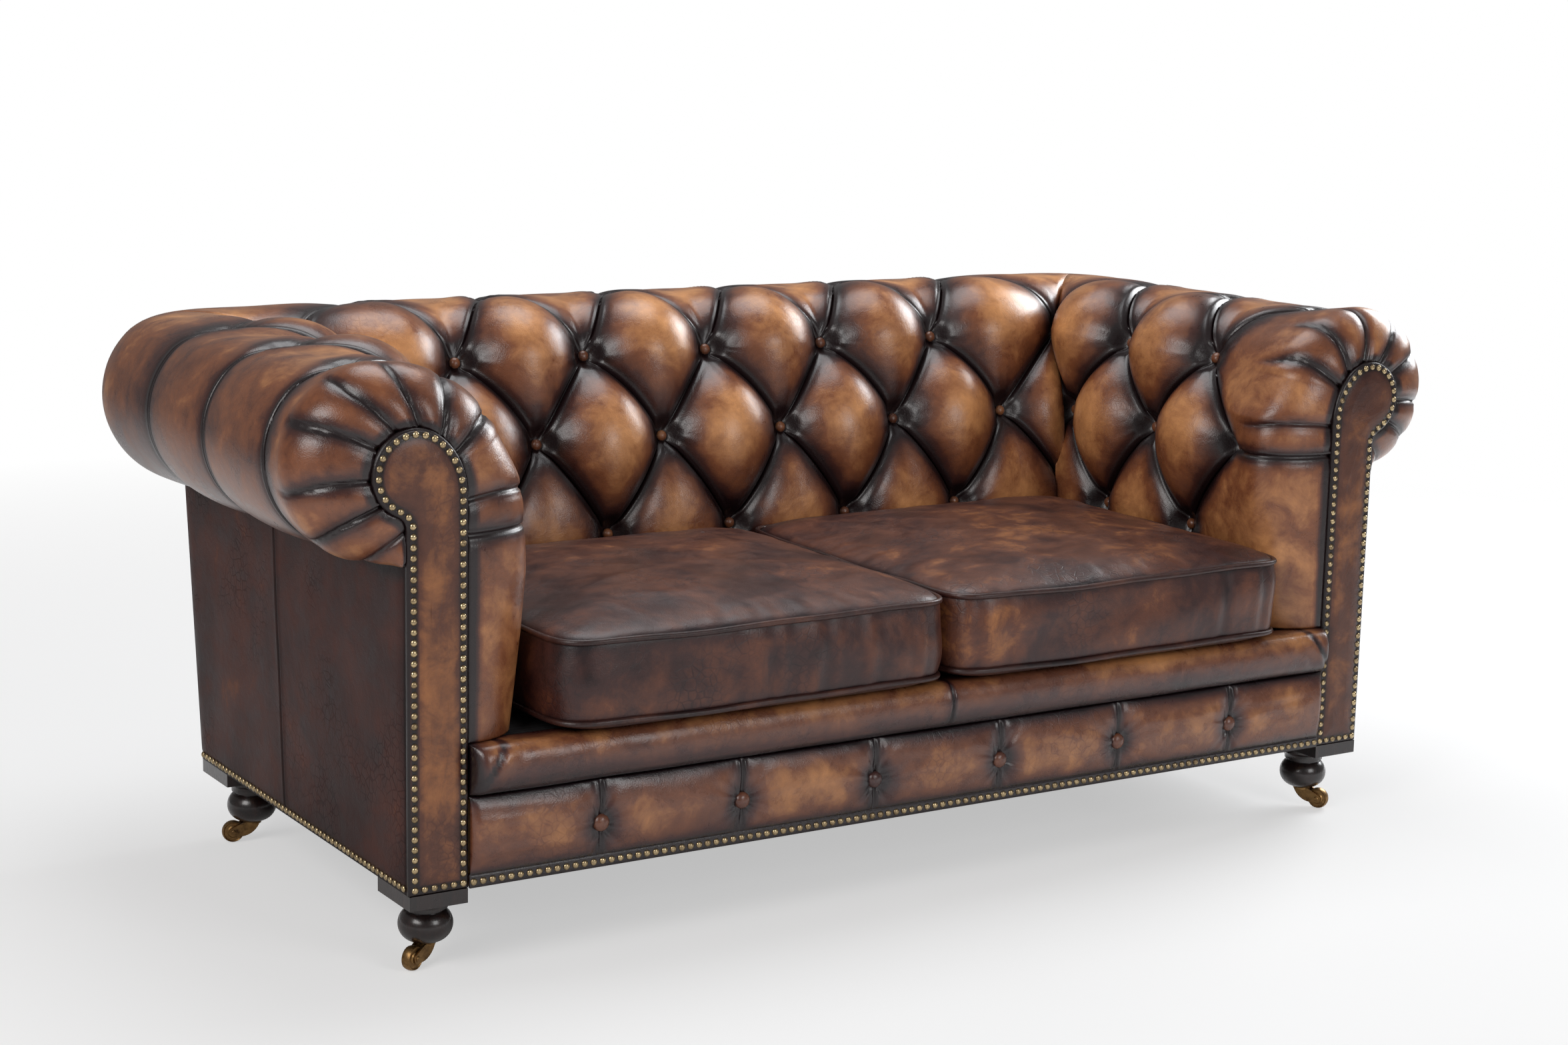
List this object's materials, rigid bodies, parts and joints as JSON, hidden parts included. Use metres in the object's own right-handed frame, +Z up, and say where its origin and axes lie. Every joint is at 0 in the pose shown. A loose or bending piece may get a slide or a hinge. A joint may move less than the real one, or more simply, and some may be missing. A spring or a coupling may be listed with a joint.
{
  "type": "sofa",
  "caption": "Button-tufted chesterfield sofa with rolled arms and back, loose seat cushions, nailed scroll facings and bun feet on swivel casters.",
  "frame": {"origin": "on the floor, under the middle of the whole sofa's bounding box", "axes": "+X towards the right-hand arm as seen from the front, +Y towards the back, +Z up"},
  "size_m": [1.87, 0.9415, 0.7778],
  "materials": {
    "tufted_leather": "hand-waxed, worn at the crests, soft sheen",
    "cushion_leather": "hand-waxed, mottled, scuffed edges",
    "seat_front_leather": "hand-waxed, satin",
    "panel_leather": "dark, semi-matt",
    "trim_leather": "dark, satin",
    "nail_brass": "antique, tarnished in the hollows",
    "caster_brass": "cast, lightly tarnished",
    "dark_wood": "dark stained and polished",
    "frame_wood": "raw planed hardwood",
    "spring_steel": "bright drawn wire",
    "webbing": "woven straps",
    "lining_cloth": "matt black cloth"
  },
  "bodies": {
    "sofa": {"apron_buttons": "seat_front_leather", "apron_panel": "seat_front_leather", "arm_buttons_left": "tufted_leather", "arm_buttons_right": "tufted_leather", "arm_facing_left": "trim_leather", "arm_facing_right": "trim_leather", "arm_pad_left": "tufted_leather", "arm_pad_right": "tufted_leather", "arm_post_front_left": "frame_wood", "arm_post_front_right": "frame_wood", "arm_post_rear_left": "frame_wood", "arm_post_rear_right": "frame_wood", "arm_tack_rail_left": "frame_wood", "arm_tack_rail_right": "frame_wood", "arm_top_rail_left": "frame_wood", "arm_top_rail_right": "frame_wood", "back_buttons": "tufted_leather", "back_pad": "tufted_leather", "back_rail": "frame_wood", "back_tack_rail": "frame_wood", "back_top_rail": "frame_wood", "back_uprights": "frame_wood", "base_nails": "nail_brass", "bun_foot_front_left": "dark_wood", "bun_foot_front_right": "dark_wood", "bun_foot_rear_left": "dark_wood", "bun_foot_rear_right": "dark_wood", "caster_sockets": "caster_brass", "centre_rail": "frame_wood", "corner_blocks": "dark_wood", "dust_cover": "lining_cloth", "facing_nails_left": "nail_brass", "facing_nails_right": "nail_brass", "front_rail": "frame_wood", "outside_arm_panel_left": "panel_leather", "outside_arm_panel_right": "panel_leather", "outside_back_panel": "panel_leather", "seat_deck_pad": "lining_cloth", "seat_edge_roll": "seat_front_leather", "seat_springs": "spring_steel", "side_rail_left": "frame_wood", "side_rail_right": "frame_wood", "spring_clips": "spring_steel", "webbing": "webbing"},
    "cushion_left": {"seat_cushion_left": "cushion_leather", "cushion_piping_left": "trim_leather"},
    "cushion_right": {"seat_cushion_right": "cushion_leather", "cushion_piping_right": "trim_leather"},
    "swivel_front_left": {"caster_fork_front_left": "caster_brass", "caster_axle_front_left": "caster_brass"},
    "wheel_front_left": {"caster_wheel_front_left": "caster_brass"},
    "swivel_front_right": {"caster_fork_front_right": "caster_brass", "caster_axle_front_right": "caster_brass"},
    "wheel_front_right": {"caster_wheel_front_right": "caster_brass"},
    "swivel_rear_left": {"caster_fork_rear_left": "caster_brass", "caster_axle_rear_left": "caster_brass"},
    "wheel_rear_left": {"caster_wheel_rear_left": "caster_brass"},
    "swivel_rear_right": {"caster_fork_rear_right": "caster_brass", "caster_axle_rear_right": "caster_brass"},
    "wheel_rear_right": {"caster_wheel_rear_right": "caster_brass"}
  },
  "joints": [
    {"name": "cushion_left_lift", "type": "slide", "parent": "sofa", "child": "cushion_left", "axis": [0, 0, 1], "range_m": [0, 0.5]},
    {"name": "cushion_right_lift", "type": "slide", "parent": "sofa", "child": "cushion_right", "axis": [0, 0, 1], "range_m": [0, 0.5]},
    {"name": "swivel_front_left", "type": "hinge", "parent": "sofa", "child": "swivel_front_left", "pos_m": [-0.7505, -0.36525, 0.045], "axis": [0, 0, 1], "continuous": true},
    {"name": "wheel_front_left", "type": "hinge", "parent": "swivel_front_left", "child": "wheel_front_left", "pos_m": [-0.77504, -0.37874, 0.016], "axis": [0.4818, -0.8763, 0], "continuous": true},
    {"name": "swivel_front_right", "type": "hinge", "parent": "sofa", "child": "swivel_front_right", "pos_m": [0.7505, -0.36525, 0.045], "axis": [0, 0, 1], "continuous": true},
    {"name": "wheel_front_right", "type": "hinge", "parent": "swivel_front_right", "child": "wheel_front_right", "pos_m": [0.76308, -0.39026, 0.016], "axis": [0.8934, 0.4493, 0], "continuous": true},
    {"name": "swivel_rear_left", "type": "hinge", "parent": "sofa", "child": "swivel_rear_left", "pos_m": [-0.7505, 0.23275, 0.045], "axis": [0, 0, 1], "continuous": true},
    {"name": "wheel_rear_left", "type": "hinge", "parent": "swivel_rear_left", "child": "wheel_rear_left", "pos_m": [-0.77772, 0.23933, 0.016], "axis": [-0.2351, -0.972, 0], "continuous": true},
    {"name": "swivel_rear_right", "type": "hinge", "parent": "sofa", "child": "swivel_rear_right", "pos_m": [0.7505, 0.23275, 0.045], "axis": [0, 0, 1], "continuous": true},
    {"name": "wheel_rear_right", "type": "hinge", "parent": "swivel_rear_right", "child": "wheel_rear_right", "pos_m": [0.74092, 0.20644, 0.016], "axis": [0.9397, -0.342, 0], "continuous": true}
  ]
}
